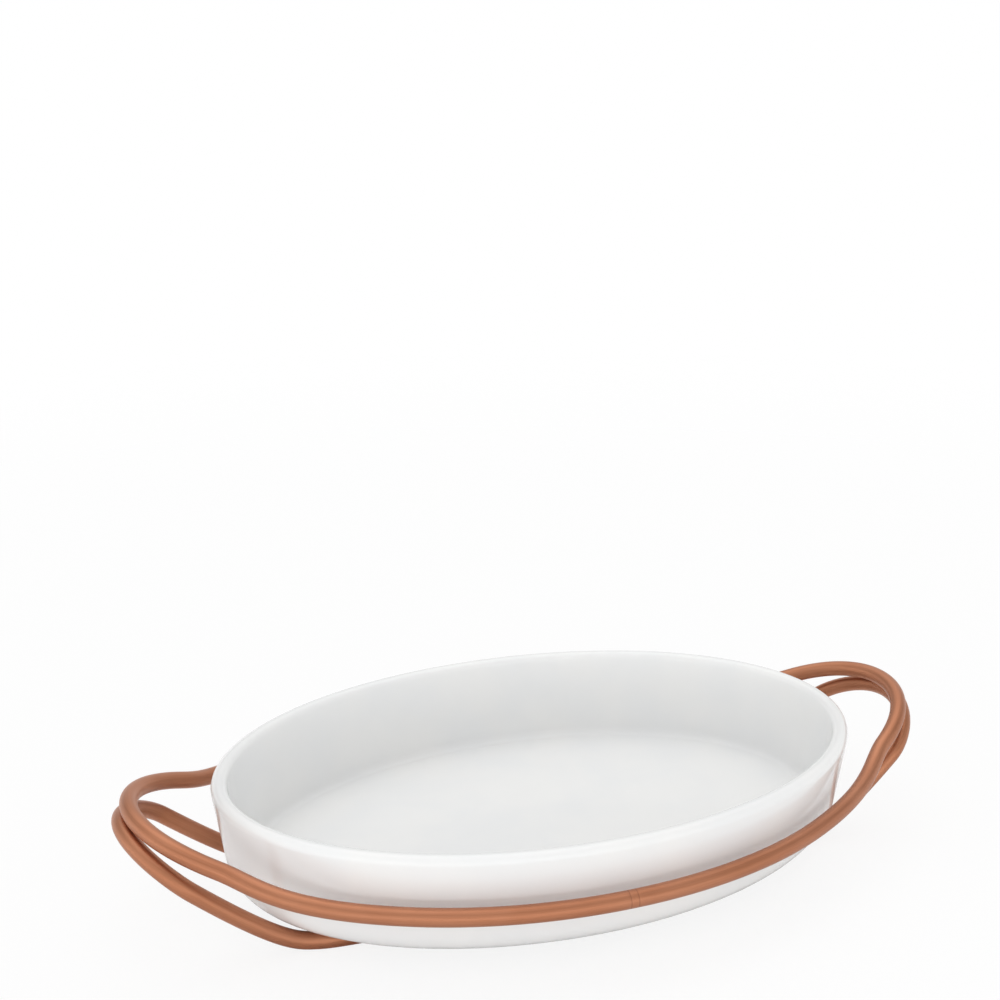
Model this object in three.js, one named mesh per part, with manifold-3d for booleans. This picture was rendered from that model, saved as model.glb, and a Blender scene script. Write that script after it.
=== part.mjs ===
// Oval serving dish of glazed porcelain, standing loosely in a holder bent from two rod loops.
// The lower loop lies on the table and carries the dish. The upper loop goes round the dish at
// half its height. At each end both loops swing out into a handle and are welded to each other.
// Millimetres, +Z up, +X along the dish. The origin is on the table, under the middle of the dish.
import * as THREE from 'three';
import { mergeVertices } from 'three/addons/utils/BufferGeometryUtils.js';
import Module from 'manifold-3d';

// Dish
const rimHalfLength = 180;      // outside of the lip along X
const rimHalfWidth = 123.5;     // outside of the lip along Y
const dishHeight = 59.5;        // underside to the top of the lip
const wallThickness = 8.5;      // the lip is rounded over its whole thickness
const wallLean = 8.5;           // degrees that the wall leans outwards
const footRadius = 20;          // rounding between the wall and the underside
const floorThickness = 8.5;
const floorFillet = 5;          // rounding between the floor and the inside of the wall

// Rod and its fit to the dish
const rodDiameter = 9;
const seatGap = 0.3;            // between the lower loop and the dish that stands on it
const railClearance = 4.8;      // between the upper loop and the wall of the dish

// Upper loop, on the axis of the rod
const railHeight = 41.5;        // above the table, where the loop follows the dish
const railSweep = 35.5;         // degrees of the oval that the loop follows, from the middle of a side
const railLeavePull = 65;       // how far it keeps its heading after leaving the oval
const shoulderReach = 8;        // shoulder of the handle, beyond the end of the rim
const shoulderHalfWidth = 52;
const shoulderRise = 13.2;      // above the rail
const shoulderTurn = 28.5;      // degrees off +X in plan
const shoulderClimb = 20.5;     // degrees off level
const shoulderPullIn = 18;
const shoulderPullOut = 28.5;
const handleReach = 41.3;       // tip of the handle, beyond the end of the rim
const handleRise = 27.1;        // above the rail
const handlePull = 19;          // how far the tip runs straight across, each way

// Lower loop, on the axis of the rod
const runHalfSpacing = 51;      // each of the two runs under the dish, from the middle, at mid-length
const runPull = 39;             // how far a run keeps straight from its middle, each way
const riseStart = 9;            // end of a run, beyond the edge of the flat underside
const runEndHalfWidth = 48.5;   // the runs come together a little at their ends
const runTurn = 19;             // degrees off +X in plan at the end of a run
const runEndPull = 19.5;
const risePull = 9;
const legReach = 26;            // top of the rising leg, in from the tip of the loop
const legHalfWidth = 43;
const legDrop = 19.7;           // below the tip
const legTurn = 5.5;            // degrees off +X in plan
const legClimb = 40;            // degrees off level
const legPullIn = 55.5;
const legPullOut = 12;
const lowerHandlePull = 24.5;

// Welds between the loops, in the groove on the dish's side of each handle
const weldGap = 0.3;            // between the loops, and between a bead and each loop
const tipTuck = 28.5;           // degrees: the lower tip is below the upper one and this far outwards
const beadRadius = 1.6;
const beadLength = 16;
const beadDepth = 2.6;          // centre of the bead from the line between the two rods

// Facets
const ovalSegments = 80;
const loopSegments = 120;
const rodSides = 12;
const lipSteps = 8;
const footSteps = 6;
const filletSteps = 4;
const beadSteps = 4;

const radians = THREE.MathUtils.degToRad;
const lean = radians(wallLean);
const rodRadius = rodDiameter / 2;
// The rods' flats face up and down, so the loop lies on the table and the dish lies on the loop.
const rodHalfFlat = rodRadius * Math.cos(Math.PI / rodSides);
const dishBase = 2 * rodHalfFlat + seatGap;

const lipRadius = wallThickness / 2;
const lipCentreHeight = dishHeight - lipRadius;

// How far the outside of the wall lies inside the rim's outline, at a height above the underside.
function outsideInset(height) {
  const drop = lipCentreHeight - lipRadius * Math.sin(lean) - height;
  return lipRadius * (1 - Math.cos(lean)) + drop * Math.tan(lean);
}

function insideInset(height) {
  return outsideInset(height) + wallThickness / Math.cos(lean);
}

const footCentreInset = outsideInset(footRadius) + footRadius / Math.cos(lean);
const filletCentreHeight = floorThickness + floorFillet;
const filletCentreInset = insideInset(filletCentreHeight) + floorFillet / Math.cos(lean);

// Points of a round stretch of the dish's section on the short axis. Angles are from outwards to up.
function sectionArc(centreInset, centreHeight, radius, from, to, steps) {
  const points = [];
  for (let i = 0; i <= steps; i += 1) {
    const angle = THREE.MathUtils.lerp(from, to, i / steps);
    const inset = centreInset - radius * Math.cos(angle);
    points.push(new THREE.Vector2(rimHalfWidth - inset, centreHeight + radius * Math.sin(angle)));
  }
  return points;
}

// The round dish of the short axis is pulled out along X, so every ring keeps its inset from the rim.
function pullToOval(geometry) {
  const position = geometry.attributes.position;
  for (let i = 0; i < position.count; i += 1) {
    const x = position.getX(i);
    const radius = Math.hypot(x, position.getY(i));
    if (radius > 0) {
      position.setX(i, x * (1 + (rimHalfLength - rimHalfWidth) / radius));
    }
  }
  return geometry;
}

function dishGeometry() {
  const down = -Math.PI / 2;
  const section = [
    new THREE.Vector2(0, 0),
    ...sectionArc(footCentreInset, footRadius, footRadius, down, -lean, footSteps),
    ...sectionArc(lipRadius, lipCentreHeight, lipRadius, -lean, Math.PI - lean, lipSteps),
    ...sectionArc(filletCentreInset, filletCentreHeight, floorFillet, -lean, down, filletSteps),
    new THREE.Vector2(0, floorThickness),
  ];
  const round = new THREE.LatheGeometry(section, ovalSegments).rotateX(Math.PI / 2);
  return pullToOval(round);
}

// A closed path of Bezier curves whose frames stay upright, so that one flat of the rod faces down.
class RodPath extends THREE.CurvePath {
  computeFrenetFrames(segments) {
    const frames = { tangents: [], normals: [], binormals: [] };
    const up = new THREE.Vector3(0, 0, 1);
    const halfSide = Math.PI / rodSides;
    for (let i = 0; i <= segments; i += 1) {
      const tangent = this.getTangentAt(i / segments);
      const side = new THREE.Vector3().crossVectors(tangent, up).normalize();
      const normal = new THREE.Vector3().crossVectors(side, tangent).applyAxisAngle(tangent, halfSide);
      frames.tangents.push(tangent);
      frames.normals.push(normal);
      frames.binormals.push(new THREE.Vector3().crossVectors(tangent, normal));
    }
    return frames;
  }
}

// A place on a rod's axis, the way the rod heads there, and how far it keeps that heading.
function knot(at, aim, pullBefore, pullAfter) {
  const before = at.clone().addScaledVector(aim, -pullBefore);
  const after = at.clone().addScaledVector(aim, pullAfter);
  return { at, before, after };
}

function heading(turn, climb) {
  const level = Math.cos(radians(climb));
  return new THREE.Vector3(
    Math.cos(radians(turn)) * level,
    Math.sin(radians(turn)) * level,
    Math.sin(radians(climb)),
  );
}

// The knots of a quarter run from the middle of the front to the tip at +X. The loop mirrors them.
function loopPath(knots) {
  const path = new RodPath();
  const quarters = [[1, 1, false], [1, -1, true], [-1, -1, false], [-1, 1, true]];
  for (const [alongX, alongY, backwards] of quarters) {
    const curves = [];
    for (let i = 1; i < knots.length; i += 1) {
      const points = [knots[i - 1].at, knots[i - 1].after, knots[i].before, knots[i].at]
        .map((p) => new THREE.Vector3(p.x * alongX, p.y * alongY, p.z));
      curves.push(new THREE.CubicBezierCurve3(...(backwards ? points.reverse() : points)));
    }
    for (const curve of backwards ? curves.reverse() : curves) {
      path.add(curve);
    }
  }
  return path;
}

const alongDish = new THREE.Vector3(1, 0, 0);
const acrossDish = new THREE.Vector3(0, 1, 0);

const upperTip = new THREE.Vector3(rimHalfLength + handleReach, 0, railHeight + handleRise);
const tuck = radians(tipTuck);
const lowerTip = upperTip.clone().add(
  new THREE.Vector3(Math.sin(tuck), 0, -Math.cos(tuck)).multiplyScalar(rodDiameter + weldGap),
);

function upperKnots() {
  const offset = rodRadius + railClearance - outsideInset(railHeight - dishBase);
  const halfLength = rimHalfLength + offset;
  const halfWidth = rimHalfWidth + offset;
  const sweep = radians(railSweep);
  const onOval = (angle) => new THREE.Vector3(
    halfLength * Math.sin(angle),
    -halfWidth * Math.cos(angle),
    railHeight,
  );
  const alongOval = new THREE.Vector3(halfLength * Math.cos(sweep), halfWidth * Math.sin(sweep), 0);
  // A Bezier curve follows an arc of this sweep when its pulls are this share of the oval's speed.
  const arcPull = (4 / 3) * Math.tan(sweep / 4);
  const shoulder = new THREE.Vector3(
    rimHalfLength + shoulderReach,
    -shoulderHalfWidth,
    railHeight + shoulderRise,
  );
  return [
    knot(onOval(0), alongDish, 0, arcPull * halfLength),
    knot(onOval(sweep), alongOval.clone().normalize(), arcPull * alongOval.length(), railLeavePull),
    knot(shoulder, heading(shoulderTurn, shoulderClimb), shoulderPullIn, shoulderPullOut),
    knot(upperTip, acrossDish, handlePull, 0),
  ];
}

function lowerKnots() {
  const flatHalfLength = rimHalfLength - footCentreInset;
  const flatHalfWidth = rimHalfWidth - footCentreInset;
  const flatEdge = flatHalfLength * Math.sqrt(1 - (runHalfSpacing / flatHalfWidth) ** 2);
  const runEnd = flatEdge + riseStart;
  const runMiddle = new THREE.Vector3(0, -runHalfSpacing, rodHalfFlat);
  const runCorner = new THREE.Vector3(runEnd, -runEndHalfWidth, rodHalfFlat);
  const legTop = new THREE.Vector3(lowerTip.x - legReach, -legHalfWidth, lowerTip.z - legDrop);
  return [
    knot(runMiddle, alongDish, 0, runPull),
    knot(runCorner, heading(runTurn, 0), runEndPull, risePull),
    knot(legTop, heading(legTurn, legClimb), legPullIn, legPullOut),
    knot(lowerTip, acrossDish, lowerHandlePull, 0),
  ];
}

const upperPath = loopPath(upperKnots());
const lowerPath = loopPath(lowerKnots());

function rodGeometry(path, radius) {
  return new THREE.TubeGeometry(path, loopSegments, radius, rodSides, true);
}

const wasm = await Module();
wasm.setup();

function toSolid(geometry) {
  const bare = geometry.clone();
  bare.deleteAttribute('normal');
  bare.deleteAttribute('uv');
  const merged = mergeVertices(bare);
  return new wasm.Manifold(new wasm.Mesh({
    numProp: 3,
    vertProperties: new Float32Array(merged.attributes.position.array),
    triVerts: new Uint32Array(merged.index.array),
  }));
}

function toGeometry(solid) {
  const mesh = solid.getMesh();
  const geometry = new THREE.BufferGeometry();
  geometry.setAttribute('position', new THREE.BufferAttribute(new Float32Array(mesh.vertProperties), 3));
  geometry.setIndex(new THREE.BufferAttribute(new Uint32Array(mesh.triVerts), 1));
  geometry.computeVertexNormals();
  return geometry;
}

// A bead lies along Y in the groove between the two tips and is hollowed by both rods. end is 1 or -1.
function weldGeometry(end) {
  const middle = upperTip.clone().lerp(lowerTip, 0.5);
  const intoGroove = new THREE.Vector3(-Math.cos(tuck), 0, -Math.sin(tuck));
  middle.addScaledVector(intoGroove, beadDepth);
  const bead = new THREE.CapsuleGeometry(beadRadius, beadLength - 2 * beadRadius, beadSteps, rodSides);
  bead.translate(middle.x * end, 0, middle.z);
  const hollows = [upperPath, lowerPath].map((path) => toSolid(rodGeometry(path, rodRadius + weldGap)));
  return toGeometry(toSolid(bead).subtract(hollows[0]).subtract(hollows[1]));
}

const porcelain = { color: 0xf1f1ef, roughness: 0.14, metalness: 0 };
const copperFinish = { color: 0xb9795a, roughness: 0.36, metalness: 1 };

function piece(name, geometry, finish) {
  const mesh = new THREE.Mesh(geometry, new THREE.MeshStandardMaterial(finish));
  mesh.name = name;
  return mesh;
}

const holder = new THREE.Group();
holder.add(piece('upper_rail', rodGeometry(upperPath, rodRadius), copperFinish));
holder.add(piece('lower_rail', rodGeometry(lowerPath, rodRadius), copperFinish));
holder.add(piece('right_handle_weld', weldGeometry(1), copperFinish));
holder.add(piece('left_handle_weld', weldGeometry(-1), copperFinish));

const dish = piece('porcelain_dish', dishGeometry(), porcelain);
dish.position.z = dishBase;

const servingDish = new THREE.Group();
servingDish.add(holder, dish);

export default servingDish;
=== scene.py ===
"""Looks of an oval porcelain serving dish that stands loosely in a holder bent from two copper rods.

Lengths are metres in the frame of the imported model: +X along the dish, +Y across it, +Z up, with the
table at height 0. Angles are degrees in fields and radians inside the methods.
"""
import logging
import math
from dataclasses import dataclass, field
from enum import Enum

import bmesh
import bpy
import numpy as np
from mathutils import Euler, Matrix, Vector
from mathutils.geometry import interpolate_bezier


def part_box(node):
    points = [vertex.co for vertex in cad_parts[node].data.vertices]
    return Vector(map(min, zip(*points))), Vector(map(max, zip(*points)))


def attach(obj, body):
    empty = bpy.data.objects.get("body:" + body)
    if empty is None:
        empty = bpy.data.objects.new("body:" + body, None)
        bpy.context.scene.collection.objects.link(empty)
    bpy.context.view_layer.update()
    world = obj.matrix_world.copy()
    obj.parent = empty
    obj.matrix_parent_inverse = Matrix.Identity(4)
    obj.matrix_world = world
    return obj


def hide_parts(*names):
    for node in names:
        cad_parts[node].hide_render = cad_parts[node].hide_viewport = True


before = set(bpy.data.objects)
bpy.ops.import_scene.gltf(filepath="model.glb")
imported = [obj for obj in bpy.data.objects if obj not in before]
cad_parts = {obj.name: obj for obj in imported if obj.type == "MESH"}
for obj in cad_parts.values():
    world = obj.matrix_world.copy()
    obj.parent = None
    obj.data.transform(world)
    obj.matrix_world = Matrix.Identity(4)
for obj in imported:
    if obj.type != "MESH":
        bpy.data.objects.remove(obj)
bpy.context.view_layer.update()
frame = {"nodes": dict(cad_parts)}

LOG = logging.getLogger("serving_dish")
UP = Vector((0, 0, 1))
ALONG_DISH = Vector((1, 0, 0))
ACROSS_DISH = Vector((0, 1, 0))
MERGE_DISTANCE = 1e-6

# Places of the sockets of a Mix node that mixes colours
MIX_FACTOR, MIX_FIRST, MIX_SECOND, MIX_RESULT = 0, 6, 7, 2
RANGE_SOCKETS = ("Value", "From Min", "From Max", "To Min", "To Max")


class Body(str, Enum):
    """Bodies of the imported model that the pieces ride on."""

    HOLDER = "holder"
    DISH = "dish"


class Slot(str, Enum):
    """Material slots of the record."""

    PORCELAIN = "porcelain"
    COPPER = "copper_rod"


class Layer(str, Enum):
    """Names of the values that a mesh carries for its material."""

    RIM_INSET = "rim_inset"
    ROD_PLACE = "rod_place"


class End(Enum):
    """The two handle ends of the holder, by the sign of X."""

    RIGHT = 1
    LEFT = -1

    @property
    def word(self) -> str:
        """The end's name in the names of its pieces."""
        return self.name.lower()

    @property
    def loop_share(self) -> float:
        """Share of a loop, from the middle of its front, at which its tip at this end lies."""
        return 0.25 if self is End.RIGHT else 0.75


class Graph:
    """Adds nodes to one node tree and joins them."""

    def __init__(self, tree: bpy.types.NodeTree) -> None:
        """Takes the tree over, without the nodes that it came with."""
        self.tree = tree
        tree.nodes.clear()

    def node(self, kind: str, **settings: object) -> bpy.types.Node:
        """Adds one node.

        Args:
            kind: the node's type name.
            settings: properties to set on it.

        Returns:
            The new node.
        """
        made = self.tree.nodes.new(kind)
        for name, value in settings.items():
            setattr(made, name, value)
        return made

    def feed(self, socket: bpy.types.NodeSocket, value: object) -> None:
        """Joins a socket to another node's output, or sets it to a plain value.

        Args:
            socket: the input to feed.
            value: an output socket, a number or a tuple.
        """
        if isinstance(value, bpy.types.NodeSocket):
            self.tree.links.new(value, socket)
        else:
            socket.default_value = value

    def math(self, operation: str, *values: object) -> bpy.types.NodeSocket:
        """Works a sum out of one to three values.

        Args:
            operation: the Math node's operation.
            values: output sockets or numbers.

        Returns:
            The result's socket.
        """
        made = self.node("ShaderNodeMath", operation=operation)
        for socket, value in zip(made.inputs, values):
            self.feed(socket, value)
        return made.outputs["Value"]

    def ramp(
        self, value: object, low: float, high: float, start: float = 0.0, end: float = 1.0,
    ) -> bpy.types.NodeSocket:
        """Eases from start to end while a value goes from low to high.

        Args:
            value: an output socket.
            low: value at which the result is still start.
            high: value at which the result has become end.
            start: first result.
            end: last result.

        Returns:
            The result's socket.
        """
        made = self.node("ShaderNodeMapRange", interpolation_type="SMOOTHSTEP")
        for name, given in zip(RANGE_SOCKETS, (value, low, high, start, end)):
            self.feed(made.inputs[name], given)
        return made.outputs["Result"]

    def tint(self, mask: object, first: object, second: object) -> bpy.types.NodeSocket:
        """Mixes two colours.

        Args:
            mask: 0 for the first colour, 1 for the second.
            first: a colour or an output socket.
            second: a colour or an output socket.

        Returns:
            The mixed colour's socket.
        """
        made = self.node("ShaderNodeMix", data_type="RGBA")
        for place, value in ((MIX_FACTOR, mask), (MIX_FIRST, first), (MIX_SECOND, second)):
            self.feed(made.inputs[place], value)
        return made.outputs[MIX_RESULT]

    def blend(self, share: object, first: object, second: object) -> bpy.types.NodeSocket:
        """Mixes two shaders.

        Args:
            share: 0 for the first shader, 1 for the second.
            first: a shader's output socket.
            second: a shader's output socket.

        Returns:
            The mixed shader's socket.
        """
        made = self.node("ShaderNodeMixShader")
        for socket, value in zip(made.inputs, (share, first, second)):
            self.feed(socket, value)
        return made.outputs["Shader"]

    def noise(
        self, place: object, stretch: tuple[float, float, float], detail: float,
    ) -> bpy.types.NodeSocket:
        """Reads a noise from a place, with its own number of waves per metre along each axis.

        Args:
            place: an output socket with the place in metres.
            stretch: waves per metre along X, Y and Z.
            detail: octaves of finer noise.

        Returns:
            The noise's value socket, about 0.5 on average.
        """
        spread = self.node("ShaderNodeVectorMath", operation="MULTIPLY")
        self.feed(spread.inputs[0], place)
        self.feed(spread.inputs[1], stretch)
        made = self.node("ShaderNodeTexNoise")
        self.feed(made.inputs["Vector"], spread.outputs["Vector"])
        self.feed(made.inputs["Scale"], 1.0)
        self.feed(made.inputs["Detail"], detail)
        return made.outputs["Fac"]

    def bump(self, height: object, strength: float, distance: float) -> bpy.types.NodeSocket:
        """Turns a height into a normal.

        Args:
            height: an output socket.
            strength: share of the bump that shows.
            distance: height of the bump in metres.

        Returns:
            The normal's socket.
        """
        made = self.node("ShaderNodeBump")
        self.feed(made.inputs["Height"], height)
        self.feed(made.inputs["Strength"], strength)
        self.feed(made.inputs["Distance"], distance)
        return made.outputs["Normal"]

    def attribute(self, layer: Layer) -> bpy.types.Node:
        """Adds the node that reads one of the mesh's own values."""
        return self.node("ShaderNodeAttribute", attribute_name=layer.value)


def new_surface(name: str) -> tuple[bpy.types.Material, Graph, bpy.types.Node]:
    """Makes a material with one main shader.

    Args:
        name: the material's name.

    Returns:
        The material, its graph and its main shader.
    """
    material = bpy.data.materials.new(name)
    material.use_nodes = True
    graph = Graph(material.node_tree)
    shader = graph.node("ShaderNodeBsdfPrincipled")
    output = graph.node("ShaderNodeOutputMaterial")
    graph.feed(output.inputs["Surface"], shader.outputs["BSDF"])
    return material, graph, shader


@dataclass(frozen=True)
class Effect:
    """A pattern in a node group of its own, which turns a place in metres into a mask from 0 to 1."""

    name: str
    detail: float

    def draw(self, graph: Graph, place: object) -> bpy.types.NodeSocket:
        """Draws the pattern inside the group.

        Args:
            graph: the group's graph.
            place: the socket with the place.

        Returns:
            The mask's socket.
        """
        raise NotImplementedError

    def group(self) -> bpy.types.NodeTree:
        """The node group, made the first time it is asked for."""
        made = bpy.data.node_groups.get(self.name)
        if made is None:
            made = bpy.data.node_groups.new(self.name, "ShaderNodeTree")
            made.interface.new_socket("Place", in_out="INPUT", socket_type="NodeSocketVector")
            made.interface.new_socket("Mask", in_out="OUTPUT", socket_type="NodeSocketFloat")
            graph = Graph(made)
            given = graph.node("NodeGroupInput")
            result = graph.node("NodeGroupOutput")
            graph.feed(result.inputs["Mask"], self.draw(graph, given.outputs["Place"]))
        return made

    def mask(self, graph: Graph, place: object) -> bpy.types.NodeSocket:
        """Puts the group into a material.

        Args:
            graph: the material's graph.
            place: the socket that feeds the group.

        Returns:
            The mask's socket.
        """
        made = graph.node("ShaderNodeGroup", node_tree=self.group())
        graph.feed(made.inputs["Place"], place)
        return made.outputs["Mask"]


@dataclass(frozen=True)
class CloudEffect(Effect):
    """Soft patches a few centimetres wide, which no fired or rubbed surface is without."""

    name: str = "soft_patches"
    detail: float = 2.0
    waves: float = 26.0
    low: float = 0.32
    high: float = 0.68

    def draw(self, graph: Graph, place: object) -> bpy.types.NodeSocket:
        """Draws the patches."""
        return graph.ramp(graph.noise(place, (self.waves,) * 3, self.detail), self.low, self.high)


@dataclass(frozen=True)
class GrainEffect(Effect):
    """Fine lines that rubbing along a rod leaves in its finish, by the place on the rod."""

    name: str = "rubbed_grain"
    detail: float = 3.0
    waves_round: float = 1900.0
    waves_along: float = 38.0

    def draw(self, graph: Graph, place: object) -> bpy.types.NodeSocket:
        """Draws the lines."""
        return graph.noise(place, (self.waves_round, self.waves_round, self.waves_along), self.detail)


@dataclass(frozen=True)
class GlazedPorcelain:
    """White porcelain under a clear gloss glaze, bare where the foot stood in the kiln."""

    body: tuple[float, float, float, float] = (0.862, 0.868, 0.868, 1.0)
    thin_glaze: tuple[float, float, float, float] = (0.885, 0.885, 0.876, 1.0)
    bare_clay: tuple[float, float, float, float] = (0.74, 0.71, 0.66, 1.0)
    gloss: float = 0.09
    dull_gloss: float = 0.15
    bare_roughness: float = 0.75
    ripple_waves: float = 95.0
    ripple_height: float = 0.00012
    ripple_strength: float = 0.10
    bare_edge: float = 0.0006

    def material(self, bare_from: float, bare_to: float, base: float) -> bpy.types.Material:
        """Makes the finish.

        Args:
            bare_from: inset from the rim at which the bare ring of the foot starts.
            bare_to: inset at which it ends.
            base: height of the underside.

        Returns:
            The material.
        """
        material, graph, shader = new_surface("glazed_porcelain")
        place = graph.node("ShaderNodeTexCoord").outputs["Object"]
        patches = CloudEffect().mask(graph, place)
        glaze = graph.tint(patches, self.body, self.thin_glaze)
        inset = graph.attribute(Layer.RIM_INSET).outputs["Fac"]
        height = graph.node("ShaderNodeSeparateXYZ")
        graph.feed(height.inputs[0], place)
        outer = graph.ramp(inset, bare_from - self.bare_edge, bare_from + self.bare_edge)
        inner = graph.ramp(inset, bare_to - self.bare_edge, bare_to + self.bare_edge, 1.0, 0.0)
        under = graph.ramp(height.outputs["Z"], base + self.bare_edge, base + 2 * self.bare_edge, 1.0, 0.0)
        bare = graph.math("MULTIPLY", graph.math("MULTIPLY", outer, inner), under)
        graph.feed(shader.inputs["Base Color"], graph.tint(bare, glaze, self.bare_clay))
        shine = graph.ramp(patches, 0.0, 1.0, self.gloss, self.dull_gloss)
        rough = graph.math("MULTIPLY_ADD", bare, self.bare_roughness, shine)
        graph.feed(shader.inputs["Roughness"], rough)
        ripple = graph.noise(place, (self.ripple_waves,) * 3, 1.0)
        graph.feed(shader.inputs["Normal"], graph.bump(ripple, self.ripple_strength, self.ripple_height))
        return material


@dataclass(frozen=True)
class SatinCopper:
    """Copper-coloured metal, rubbed to a satin along the rod and lacquered."""

    name: str = "satin_copper"
    deep: tuple[float, float, float, float] = (0.430, 0.168, 0.082, 1.0)
    bright: tuple[float, float, float, float] = (0.515, 0.224, 0.122, 1.0)
    joint: tuple[float, float, float, float] = (0.28, 0.11, 0.06, 1.0)
    smooth: float = 0.44
    rough: float = 0.52
    coat: float = 0.3
    coat_roughness: float = 0.30
    line_height: float = 0.00002
    line_strength: float = 0.10
    line_share: float = 0.55
    line_tones: tuple[float, float] = (0.3, 0.7)
    line_gloss: tuple[float, float] = (0.25, 0.75)
    joint_line: float = 0.0004
    joint_share: float = 0.7

    def material(self, seams: tuple[float, ...] = ()) -> bpy.types.Material:
        """Makes the finish.

        Args:
            seams: distances along the rod of the dark lines that edge its ground weld.

        Returns:
            The material.
        """
        material, graph, shader = new_surface(self.name)
        rod_place = graph.attribute(Layer.ROD_PLACE).outputs["Vector"]
        lines = GrainEffect().mask(graph, rod_place)
        patches = CloudEffect().mask(graph, graph.node("ShaderNodeTexCoord").outputs["Object"])
        cloudy = graph.math("MULTIPLY", patches, 1 - self.line_share)
        shade = graph.math("MULTIPLY_ADD", graph.ramp(lines, *self.line_tones), self.line_share, cloudy)
        metal = graph.tint(shade, self.deep, self.bright)
        along = graph.node("ShaderNodeSeparateXYZ")
        graph.feed(along.inputs[0], rod_place)
        for seam in seams:
            off_seam = graph.math("ABSOLUTE", graph.math("SUBTRACT", along.outputs["Z"], seam))
            seam_line = graph.ramp(off_seam, 0.0, self.joint_line, self.joint_share, 0.0)
            metal = graph.tint(seam_line, metal, self.joint)
        graph.feed(shader.inputs["Base Color"], metal)
        satin = graph.ramp(lines, *self.line_gloss, self.smooth, self.rough)
        graph.feed(shader.inputs["Roughness"], satin)
        graph.feed(shader.inputs["Normal"], graph.bump(lines, self.line_strength, self.line_height))
        shader.inputs["Metallic"].default_value = 1.0
        shader.inputs["Coat Weight"].default_value = self.coat
        shader.inputs["Coat Roughness"].default_value = self.coat_roughness
        return material


def new_piece(name: str, bm: bmesh.types.BMesh) -> bpy.types.Object:
    """Turns a finished bmesh into a smooth-shaded object at the origin.

    Args:
        name: the piece's name.
        bm: its bmesh, which is freed.

    Returns:
        The piece, in the scene.
    """
    mesh = bpy.data.meshes.new(name)
    for face in bm.faces:
        face.smooth = True
    bm.to_mesh(mesh)
    bm.free()
    piece = bpy.data.objects.new(name, mesh)
    bpy.context.scene.collection.objects.link(piece)
    return piece


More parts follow.
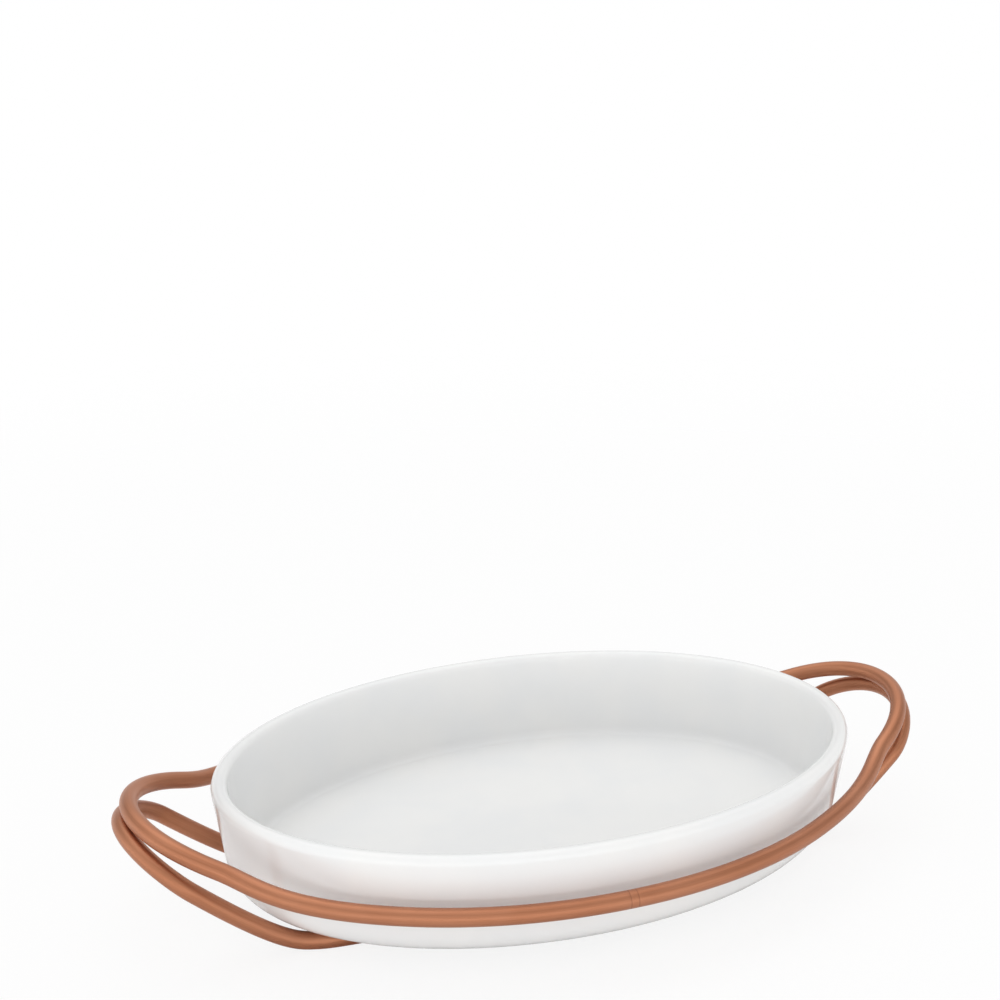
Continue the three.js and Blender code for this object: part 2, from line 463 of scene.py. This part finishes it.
@dataclass
class OvalDish:
    """The dish: an oval floor, a leaning wall with a round lip, and a rounded foot."""

    rim_half_length: float = 0.180
    rim_half_width: float = 0.1235
    height: float = 0.0595
    wall: float = 0.0085
    wall_lean: float = 8.5
    foot_radius: float = 0.020
    floor_thickness: float = 0.0085
    floor_fillet: float = 0.005
    bare_ring: float = 0.006
    turn_steps: int = 240
    foot_steps: int = 14
    lip_steps: int = 18
    fillet_steps: int = 12
    wall_cuts: int = 6
    floor_cuts: int = 9
    base: float = field(init=False)

    def __post_init__(self) -> None:
        """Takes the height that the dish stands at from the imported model."""
        self.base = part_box("porcelain_dish")[0].z

    @property
    def lean(self) -> float:
        """Lean of the wall in radians."""
        return math.radians(self.wall_lean)

    @property
    def lip_radius(self) -> float:
        """The lip is rounded over the whole wall."""
        return self.wall / 2

    @property
    def lip_height(self) -> float:
        """Height of the lip's centre above the underside."""
        return self.height - self.lip_radius

    def outside_inset(self, height: float) -> float:
        """How far the outside of the wall lies inside the rim's outline.

        Args:
            height: height above the underside.

        Returns:
            The inset.
        """
        drop = self.lip_height - self.lip_radius * math.sin(self.lean) - height
        return self.lip_radius * (1 - math.cos(self.lean)) + drop * math.tan(self.lean)

    def foot_inset(self) -> float:
        """Inset of the edge of the flat underside."""
        return self.outside_inset(self.foot_radius) + self.foot_radius / math.cos(self.lean)

    def fillet_inset(self) -> float:
        """Inset of the edge of the flat floor."""
        outside = self.outside_inset(self.floor_thickness + self.floor_fillet)
        return outside + self.wall / math.cos(self.lean) + self.floor_fillet / math.cos(self.lean)

    def draw_section(self, bm: bmesh.types.BMesh) -> None:
        """Draws half the section on the short axis, from the underside's middle to the floor's.

        Args:
            bm: the bmesh to draw in.
        """
        quarter = math.pi / 2 - self.lean
        fillet_height = self.floor_thickness + self.floor_fillet
        foot = Vector((self.rim_half_width - self.foot_inset(), 0, self.foot_radius))
        lip = Vector((self.rim_half_width - self.lip_radius, 0, self.lip_height))
        fillet = Vector((self.rim_half_width - self.fillet_inset(), 0, fillet_height))
        outwards = Vector((math.cos(self.lean), 0, -math.sin(self.lean)))

        to_cut: list[tuple[bmesh.types.BMEdge, int]] = []

        def line_to(start: bmesh.types.BMVert, end: Vector, cuts: int) -> bmesh.types.BMVert:
            """Draws a straight stretch, to be cut into equal ones later."""
            made = bmesh.ops.extrude_vert_indiv(bm, verts=[start])
            made["verts"][0].co = end
            to_cut.append((made["edges"][0], cuts))
            return made["verts"][0]

        def arc_round(
            start: bmesh.types.BMVert, centre: Vector, angle: float, steps: int,
        ) -> bmesh.types.BMVert:
            """Draws a round stretch, turning from outwards to up."""
            made = bmesh.ops.spin(bm, geom=[start], cent=centre, axis=-ACROSS_DISH, angle=angle, steps=steps)
            return next(part for part in made["geom_last"] if isinstance(part, bmesh.types.BMVert))

        tip = bm.verts.new((0, 0, 0))
        tip = line_to(tip, foot - self.foot_radius * UP, self.floor_cuts)
        tip = arc_round(tip, foot, quarter, self.foot_steps)
        tip = line_to(tip, lip + self.lip_radius * outwards, self.wall_cuts)
        tip = arc_round(tip, lip, math.pi, self.lip_steps)
        tip = line_to(tip, fillet + self.floor_fillet * outwards, self.wall_cuts)
        tip = arc_round(tip, fillet, -quarter, self.fillet_steps)
        line_to(tip, Vector((0, 0, self.floor_thickness)), self.floor_cuts)
        for edge, cuts in to_cut:
            bmesh.ops.subdivide_edges(bm, edges=[edge], cuts=cuts)

    def build(self) -> bpy.types.Object:
        """Turns the section round and pulls the round dish out to its oval.

        Returns:
            The dish, where it stands in the holder.
        """
        bm = bmesh.new()
        self.draw_section(bm)
        bmesh.ops.spin(
            bm, geom=bm.verts[:] + bm.edges[:], cent=(0, 0, 0), axis=UP,
            angle=2 * math.pi, steps=self.turn_steps, use_merge=True,
        )
        bmesh.ops.remove_doubles(bm, verts=bm.verts, dist=MERGE_DISTANCE)
        bmesh.ops.recalc_face_normals(bm, faces=bm.faces)
        inset = bm.verts.layers.float.new(Layer.RIM_INSET.value)
        for vert in bm.verts:
            radius = math.hypot(vert.co.x, vert.co.y)
            vert[inset] = self.rim_half_width - radius
            if radius > MERGE_DISTANCE:
                vert.co.x *= 1 + (self.rim_half_length - self.rim_half_width) / radius
        bmesh.ops.translate(bm, verts=bm.verts, vec=self.base * UP)
        return new_piece("glazed_dish", bm)

    def dress(self, piece: bpy.types.Object) -> None:
        """Glazes the dish and ties it to its body.

        Args:
            piece: what build made.
        """
        flat_edge = self.foot_inset()
        finish = GlazedPorcelain().material(flat_edge, flat_edge + self.bare_ring, self.base)
        piece.data.materials.append(finish)
        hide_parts("porcelain_dish")
        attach(piece, Body.DISH.value)


@dataclass(frozen=True)
class Knot:
    """A place on a rod's axis, the way the rod heads there, and how far it keeps that heading."""

    at: Vector
    aim: Vector
    pull_before: float
    pull_after: float

    @property
    def before(self) -> Vector:
        """The Bezier handle on the side that the rod comes from."""
        return self.at - self.pull_before * self.aim

    @property
    def after(self) -> Vector:
        """The Bezier handle on the side that the rod goes to."""
        return self.at + self.pull_after * self.aim

    def mirrored(self, along_x: int, along_y: int) -> "Knot":
        """The same knot in another quarter of the loop.

        Args:
            along_x: 1 or -1, the sign of X there.
            along_y: 1 or -1, the sign that Y is multiplied by.

        Returns:
            The knot, turned round where the quarter runs the other way.
        """
        flip = Matrix.Diagonal((along_x, along_y, 1))
        if along_x * along_y > 0:
            return Knot(flip @ self.at, flip @ self.aim, self.pull_before, self.pull_after)
        return Knot(flip @ self.at, -(flip @ self.aim), self.pull_after, self.pull_before)


def heading(turn: float, climb: float) -> Vector:
    """A direction in space.

    Args:
        turn: degrees off +X in plan.
        climb: degrees off level.

    Returns:
        The unit vector.
    """
    turned, climbed = math.radians(turn), math.radians(climb)
    level = math.cos(climbed)
    return Vector((math.cos(turned) * level, math.sin(turned) * level, math.sin(climbed)))


class RodPath:
    """The axis of a closed loop of rod, by the distance along it from the middle of its front."""

    QUARTERS = ((1, 1), (1, -1), (-1, -1), (-1, 1))
    CURVE_POINTS = 600
    PROBE = 0.0005

    def __init__(self, knots: list[Knot]) -> None:
        """Draws the loop.

        Args:
            knots: the knots of one quarter, from the middle of the front to the tip at +X.
        """
        points: list[Vector] = []
        for along_x, along_y in self.QUARTERS:
            quarter = [knot.mirrored(along_x, along_y) for knot in knots]
            if along_x * along_y < 0:
                quarter.reverse()
            for first, second in zip(quarter, quarter[1:]):
                curve = interpolate_bezier(first.at, first.after, second.before, second.at, self.CURVE_POINTS)
                points += curve[:-1]
        self.points = np.array(points + points[:1])
        steps = np.linalg.norm(np.diff(self.points, axis=0), axis=1)
        self.distances = np.concatenate(([0.0], np.cumsum(steps)))
        self.length = float(self.distances[-1])

    def at(self, along: float) -> Vector:
        """The point of the axis at a distance along it."""
        return Vector([np.interp(along % self.length, self.distances, column) for column in self.points.T])

    def frame_at(self, along: float) -> Matrix:
        """The rod's own upright axes at a distance along it.

        Args:
            along: distance along the axis.

        Returns:
            A matrix whose Z runs along the rod and whose Y is as upright as it can be.
        """
        ahead = (self.at(along + self.PROBE) - self.at(along - self.PROBE)).normalized()
        side = ahead.cross(UP).normalized()
        made = Matrix((side, ahead.cross(side), ahead)).transposed().to_4x4()
        made.translation = self.at(along)
        return made


@dataclass(frozen=True)
class Station:
    """One ring of a swept round bar."""

    frame: Matrix
    radius: float
    along: float


def sweep(bm: bmesh.types.BMesh, stations: list[Station], sides: int) -> tuple[list, list]:
    """Carries a ring from station to station and joins each to the next.

    Args:
        bm: the bmesh to build in.
        stations: the rings, in order.
        sides: corners of each ring.

    Returns:
        The edges of the first ring and of the last.
    """
    place = bm.verts.layers.float_vector.new(Layer.ROD_PLACE.value)
    first = stations[0]
    bmesh.ops.create_circle(bm, segments=sides, radius=first.radius, matrix=first.frame)
    start_edges = edges = bm.edges[:]
    verts = bm.verts[:]
    for index, station in enumerate(stations):
        if index:
            before = stations[index - 1]
            made = bmesh.ops.extrude_edge_only(bm, edges=edges)["geom"]
            verts = [part for part in made if isinstance(part, bmesh.types.BMVert)]
            edges = [part for part in made if isinstance(part, bmesh.types.BMEdge) and part.is_boundary]
            grow = Matrix.Scale(station.radius / before.radius, 4)
            move = station.frame @ grow @ before.frame.inverted()
            bmesh.ops.transform(bm, matrix=move, verts=verts)
        to_rod = station.frame.inverted()
        for vert in verts:
            local = to_rod @ vert.co
            vert[place] = Vector((local.x, local.y, station.along))
    return start_edges, edges


@dataclass
class RodLoop:
    """A round rod bent into a closed loop, with the ground weld where its two ends meet."""

    dish: OvalDish
    rod_radius: float = 0.0045
    sides: int = 28
    rings: int = 420
    joint_half_width: float = 0.0020
    groove_half_width: float = 0.0003
    groove_depth: float = 0.0001

    name = "rod_loop"
    node = ""

    # The joint's place: a share of the loop from the middle of its front, and a distance on from there
    joint_loop_share = 0.0
    joint_offset = 0.0

    def knots(self) -> list[Knot]:
        """The knots of one quarter of the axis."""
        raise NotImplementedError

    def path(self) -> RodPath:
        """The rod's axis."""
        return RodPath(self.knots())

    def stations(self) -> list[Station]:
        """The rings of the rod, from its joint round to its joint, with a groove on each side of it.

        Returns:
            The rings, in order.
        """
        path = self.path()
        rings: dict[float, float] = {}
        for ring in range(self.rings):
            along = path.length * (ring + 0.5) / self.rings
            rings[along] = self.rod_radius
        for centre in (self.joint_half_width, path.length - self.joint_half_width):
            for offset, depth in ((-1, 0.0), (0, self.groove_depth), (1, 0.0)):
                rings[centre + offset * self.groove_half_width] = self.rod_radius - depth
        start = self.joint_loop_share * path.length + self.joint_offset
        made = []
        for along, radius in sorted(rings.items()):
            made.append(Station(path.frame_at(start + along), radius, along))
        return made

    def build(self) -> bpy.types.Object:
        """Sweeps the rod round its loop and closes it.

        Returns:
            The rod.
        """
        bm = bmesh.new()
        stations = self.stations()
        first, last = sweep(bm, stations, self.sides)
        bmesh.ops.bridge_loops(bm, edges=first + last)
        bmesh.ops.recalc_face_normals(bm, faces=bm.faces)
        return new_piece(self.name, bm)

    def dress(self, piece: bpy.types.Object) -> None:
        """Gives the rod its finish and ties it to its body.

        Args:
            piece: what build made.
        """
        seams = (self.joint_half_width, self.path().length - self.joint_half_width)
        piece.data.materials.append(SatinCopper().material(seams))
        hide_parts(self.node)
        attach(piece, Body.HOLDER.value)


@dataclass
class UpperRail(RodLoop):
    """The loop that goes round the dish and rises into a handle at each end."""

    clearance: float = 0.0048
    rail_height: float = 0.0415
    rail_sweep: float = 35.5
    leave_pull: float = 0.065
    shoulder_reach: float = 0.008
    shoulder_half_width: float = 0.052
    shoulder_rise: float = 0.0132
    shoulder_turn: float = 28.5
    shoulder_climb: float = 20.5
    shoulder_pull_in: float = 0.018
    shoulder_pull_out: float = 0.0285
    handle_reach: float = 0.0413
    handle_rise: float = 0.0271
    handle_pull: float = 0.019

    name = "upper_rod"
    node = "upper_rail"
    joint_offset = -0.0075

    def tip(self) -> Vector:
        """The axis at the tip of the handle at +X."""
        return Vector((self.dish.rim_half_length + self.handle_reach, 0, self.rail_height + self.handle_rise))

    def knots(self) -> list[Knot]:
        """The knots of one quarter of the axis."""
        wall_inset = self.dish.outside_inset(self.rail_height - self.dish.base)
        offset = self.rod_radius + self.clearance - wall_inset
        half_length = self.dish.rim_half_length + offset
        half_width = self.dish.rim_half_width + offset
        swept = math.radians(self.rail_sweep)
        leave = Vector((half_length * math.sin(swept), -half_width * math.cos(swept), self.rail_height))
        speed = Vector((half_length * math.cos(swept), half_width * math.sin(swept), 0))
        arc_pull = 4 / 3 * math.tan(swept / 4)
        shoulder = Vector((
            self.dish.rim_half_length + self.shoulder_reach,
            -self.shoulder_half_width,
            self.rail_height + self.shoulder_rise,
        ))
        return [
            Knot(Vector((0, -half_width, self.rail_height)), ALONG_DISH, 0, arc_pull * half_length),
            Knot(leave, speed.normalized(), arc_pull * speed.length, self.leave_pull),
            Knot(
                shoulder, heading(self.shoulder_turn, self.shoulder_climb),
                self.shoulder_pull_in, self.shoulder_pull_out,
            ),
            Knot(self.tip(), ACROSS_DISH, self.handle_pull, 0),
        ]


@dataclass
class LowerRail(RodLoop):
    """The loop that lies on the table under the dish and climbs to the upper loop at each end."""

    upper: UpperRail | None = None
    run_half_spacing: float = 0.051
    run_pull: float = 0.039
    rise_start: float = 0.009
    run_end_half_width: float = 0.0485
    run_turn: float = 19.0
    run_end_pull: float = 0.0195
    rise_pull: float = 0.009
    leg_reach: float = 0.026
    leg_half_width: float = 0.043
    leg_drop: float = 0.0197
    leg_turn: float = 5.5
    leg_climb: float = 40.0
    leg_pull_in: float = 0.0555
    leg_pull_out: float = 0.012
    handle_pull: float = 0.0245
    tip_tuck: float = 28.5
    weld_gap: float = 0.0003

    name = "lower_rod"
    node = "lower_rail"
    joint_loop_share = 0.5

    def tip(self) -> Vector:
        """The axis at the tip at +X, tucked under the upper loop's tip."""
        tuck = math.radians(self.tip_tuck)
        apart = 2 * self.rod_radius + self.weld_gap
        return self.upper.tip() + apart * Vector((math.sin(tuck), 0, -math.cos(tuck)))

    def knots(self) -> list[Knot]:
        """The knots of one quarter of the axis."""
        flat_half_length = self.dish.rim_half_length - self.dish.foot_inset()
        flat_half_width = self.dish.rim_half_width - self.dish.foot_inset()
        flat_edge = flat_half_length * math.sqrt(1 - (self.run_half_spacing / flat_half_width) ** 2)
        run_end = flat_edge + self.rise_start
        axis_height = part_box(self.node)[0].z + self.rod_radius
        tip = self.tip()
        run_middle = Vector((0, -self.run_half_spacing, axis_height))
        run_corner = Vector((run_end, -self.run_end_half_width, axis_height))
        leg_top = Vector((tip.x - self.leg_reach, -self.leg_half_width, tip.z - self.leg_drop))
        return [
            Knot(run_middle, ALONG_DISH, 0, self.run_pull),
            Knot(run_corner, heading(self.run_turn, 0), self.run_end_pull, self.rise_pull),
            Knot(leg_top, heading(self.leg_turn, self.leg_climb), self.leg_pull_in, self.leg_pull_out),
            Knot(tip, ACROSS_DISH, self.handle_pull, 0),
        ]


@dataclass
class HandleWeld:
    """The bead in the groove between the two loops, on the dish's side of a handle."""

    end: End
    upper: UpperRail
    lower: LowerRail
    radius: float = 0.0016
    length: float = 0.016
    depth: float = 0.0026
    ripple: float = 0.00012
    ripple_pitch: float = 0.0011
    taper_power: int = 6
    tip_share: float = 0.02
    probe: float = 0.0001
    rings: int = 96
    sides: int = 20

    def stations(self) -> list[Station]:
        """The rings of the bead along the groove, small at both ends.

        Returns:
            The rings, in order.
        """
        upper, lower = self.upper.path(), self.lower.path()
        upper_tip = self.end.loop_share * upper.length
        lower_tip = self.end.loop_share * lower.length
        made = []
        for ring in range(self.rings):
            offset = self.length * (ring / (self.rings - 1) - 0.5)
            over = upper.at(upper_tip + offset)
            under = lower.at(lower_tip + offset)
            ahead = (upper.at(upper_tip + offset + self.probe) - over).normalized()
            apart = (under - over).normalized()
            inwards = apart.cross(ahead).normalized()
            if inwards.x * self.end.value > 0:
                inwards.negate()
            placed = Matrix((inwards, ahead.cross(inwards), ahead)).transposed().to_4x4()
            placed.translation = (over + under) / 2 + self.depth * inwards
            taper = max(1 - abs(2 * offset / self.length) ** self.taper_power, self.tip_share)
            wave = self.ripple * math.cos(2 * math.pi * offset / self.ripple_pitch)
            made.append(Station(placed, (self.radius + wave) * math.sqrt(taper), offset))
        return made

    def build(self) -> bpy.types.Object:
        """Sweeps the bead along the groove and closes its ends.

        Returns:
            The bead.
        """
        bm = bmesh.new()
        first, last = sweep(bm, self.stations(), self.sides)
        for ring in (first, last):
            bmesh.ops.edgeloop_fill(bm, edges=ring)
        bmesh.ops.recalc_face_normals(bm, faces=bm.faces)
        return new_piece(f"{self.end.word}_weld_bead", bm)

    def dress(self, piece: bpy.types.Object) -> None:
        """Gives the bead its duller finish and ties it to its body.

        Args:
            piece: what build made.
        """
        finish = SatinCopper(name="weld_copper", smooth=0.54, rough=0.68)
        piece.data.materials.append(finish.material())
        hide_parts(f"{self.end.word}_handle_weld")
        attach(piece, Body.HOLDER.value)


@dataclass(frozen=True)
class SkyPatch:
    """A round patch of light in the surround, soft at its edge, like a wall or a panel lit from afar."""

    turn: float
    climb: float
    spread: float
    strength: float
    full_share: float = 0.25

    def light(self, graph: Graph, ray: object) -> bpy.types.NodeSocket:
        """Adds the patch to the surround.

        Args:
            graph: the world's graph.
            ray: the socket with the direction looked in.

        Returns:
            The socket with the patch's light in that direction.
        """
        near = graph.node("ShaderNodeVectorMath", operation="DOT_PRODUCT")
        graph.feed(near.inputs[0], ray)
        near.inputs[1].default_value = heading(self.turn, self.climb)
        edge, full = (math.cos(math.radians(self.spread * share)) for share in (1.0, self.full_share))
        return graph.ramp(near.outputs["Value"], edge, full, 0.0, self.strength)


@dataclass
class Studio:
    """Pale table, soft light all round, and the photograph's camera."""

    table_radius: float = 1.6
    table_sides: int = 96
    table_solid: float = 0.75
    table_roughness: float = 0.9
    table_colour: tuple[float, float, float, float] = (0.95, 0.95, 0.95, 1.0)
    white_share: float = 0.86
    sweep: SkyPatch = SkyPatch(turn=-135, climb=0, spread=130, strength=1.4, full_share=0.5)
    sweep_full: float = 0.08
    sweep_top: float = 0.2
    backdrop_full: float = 0.15
    backdrop_top: float = 0.4
    horizon_blur: float = 0.02
    patches: tuple[SkyPatch, ...] = (
        SkyPatch(turn=0, climb=90, spread=65, strength=0.33),
        SkyPatch(turn=0, climb=90, spread=40, strength=0.64),
        SkyPatch(turn=67, climb=68, spread=40, strength=0.34),
        SkyPatch(turn=-113, climb=12, spread=50, strength=0.86),
        SkyPatch(turn=-53, climb=12, spread=50, strength=0.52),
        SkyPatch(turn=7, climb=12, spread=50, strength=0.54),
        SkyPatch(turn=-173, climb=12, spread=50, strength=0.60),
        SkyPatch(turn=-80, climb=40, spread=50, strength=0.25),
        SkyPatch(turn=67, climb=45, spread=50, strength=0.68),
        SkyPatch(turn=157, climb=45, spread=50, strength=0.46),
    )
    camera_at: tuple[float, float, float] = (-0.2954, -0.7062, 0.4215)
    camera_yaw: float = 22.43
    camera_pitch: float = 15.86
    lens: float = 54.66
    sensor: float = 36.0
    shift_x: float = -0.0354
    near_clip: float = 0.01

    def build_table(self) -> None:
        """A round pale table top that fades into the backdrop far from the dish."""
        bm = bmesh.new()
        bmesh.ops.create_circle(bm, cap_ends=True, segments=self.table_sides, radius=self.table_radius)
        table = new_piece("table_top", bm)
        material, graph, shader = new_surface("pale_table")
        place = graph.node("ShaderNodeTexCoord").outputs["Object"]
        far = graph.node("ShaderNodeVectorMath", operation="LENGTH")
        graph.feed(far.inputs[0], place)
        fade = graph.ramp(far.outputs["Value"], self.table_solid, self.table_radius, 1.0, 0.0)
        shader.inputs["Base Color"].default_value = self.table_colour
        shader.inputs["Roughness"].default_value = self.table_roughness
        shader.inputs["Specular IOR Level"].default_value = 0.0
        white = graph.node("ShaderNodeEmission").outputs["Emission"]
        path = graph.node("ShaderNodeLightPath")
        seen = graph.math("MULTIPLY", path.outputs["Is Camera Ray"], self.white_share)
        top = graph.blend(seen, shader.outputs["BSDF"], white)
        clear = graph.node("ShaderNodeBsdfTransparent").outputs["BSDF"]
        faded = graph.blend(fade, clear, top)
        graph.feed(graph.tree.nodes["Material Output"].inputs["Surface"], faded)
        table.data.materials.append(material)

    def build_sky(self) -> None:
        """Soft patches of light all round, a bright sweep low in front, and white behind it all."""
        world = bpy.data.worlds.new("soft_surround")
        world.use_nodes = True
        graph = Graph(world.node_tree)
        ray = graph.node("ShaderNodeTexCoord").outputs["Generated"]
        axes = graph.node("ShaderNodeSeparateXYZ")
        graph.feed(axes.inputs[0], ray)
        height = axes.outputs["Z"]
        low = graph.ramp(height, self.sweep_full, self.sweep_top, 1.0, 0.0)
        light = graph.math("MULTIPLY", self.sweep.light(graph, ray), low)
        for patch in self.patches:
            light = graph.math("ADD", light, patch.light(graph, ray))
        path = graph.node("ShaderNodeLightPath")
        backdrop = graph.ramp(height, self.backdrop_full, self.backdrop_top, 1.0, 0.0)
        mirrored = graph.math("MULTIPLY", path.outputs["Is Glossy Ray"], backdrop)
        under = graph.ramp(height, -self.horizon_blur, 0.0, 1.0, 0.0)
        seen = path.outputs["Is Camera Ray"]
        white = graph.math("MAXIMUM", seen, graph.math("MAXIMUM", mirrored, under))
        unseen = graph.math("MULTIPLY", light, graph.math("SUBTRACT", 1.0, seen))
        background = graph.node("ShaderNodeBackground")
        graph.feed(background.inputs["Strength"], graph.math("MAXIMUM", white, unseen))
        background.inputs["Color"].default_value = (1.0, 1.0, 1.0, 1.0)
        output = graph.node("ShaderNodeOutputWorld")
        graph.feed(output.inputs["Surface"], background.outputs["Background"])
        bpy.context.scene.world = world

    def build_camera(self) -> None:
        """The camera, where the photograph was taken from."""
        data = bpy.data.cameras.new("photo_camera")
        data.sensor_width = self.sensor
        data.lens = self.lens
        data.shift_x = self.shift_x
        data.clip_start = self.near_clip
        camera = bpy.data.objects.new("photo_camera", data)
        camera.location = self.camera_at
        pitch, yaw = math.radians(self.camera_pitch), math.radians(self.camera_yaw)
        camera.rotation_euler = Euler((math.pi / 2 - pitch, 0, -yaw))
        bpy.context.scene.collection.objects.link(camera)
        bpy.context.scene.camera = camera

    def build(self) -> None:
        """Sets the table, the light and the camera up."""
        self.build_table()
        self.build_sky()
        self.build_camera()
        bpy.context.scene.view_settings.view_transform = "Standard"


def main() -> None:
    """Builds the dish, the two loops, their welds and the studio."""
    logging.basicConfig(level=logging.INFO, format="%(name)s: %(message)s")
    dish = OvalDish()
    upper = UpperRail(dish)
    lower = LowerRail(dish, upper=upper)
    welds = [HandleWeld(end, upper, lower) for end in End]
    for assembly in (dish, upper, lower, *welds):
        piece = assembly.build()
        assembly.dress(piece)
        LOG.info("%s: %d faces", piece.name, len(piece.data.polygons))
    Studio().build()


if __name__ == "__main__":
    main()
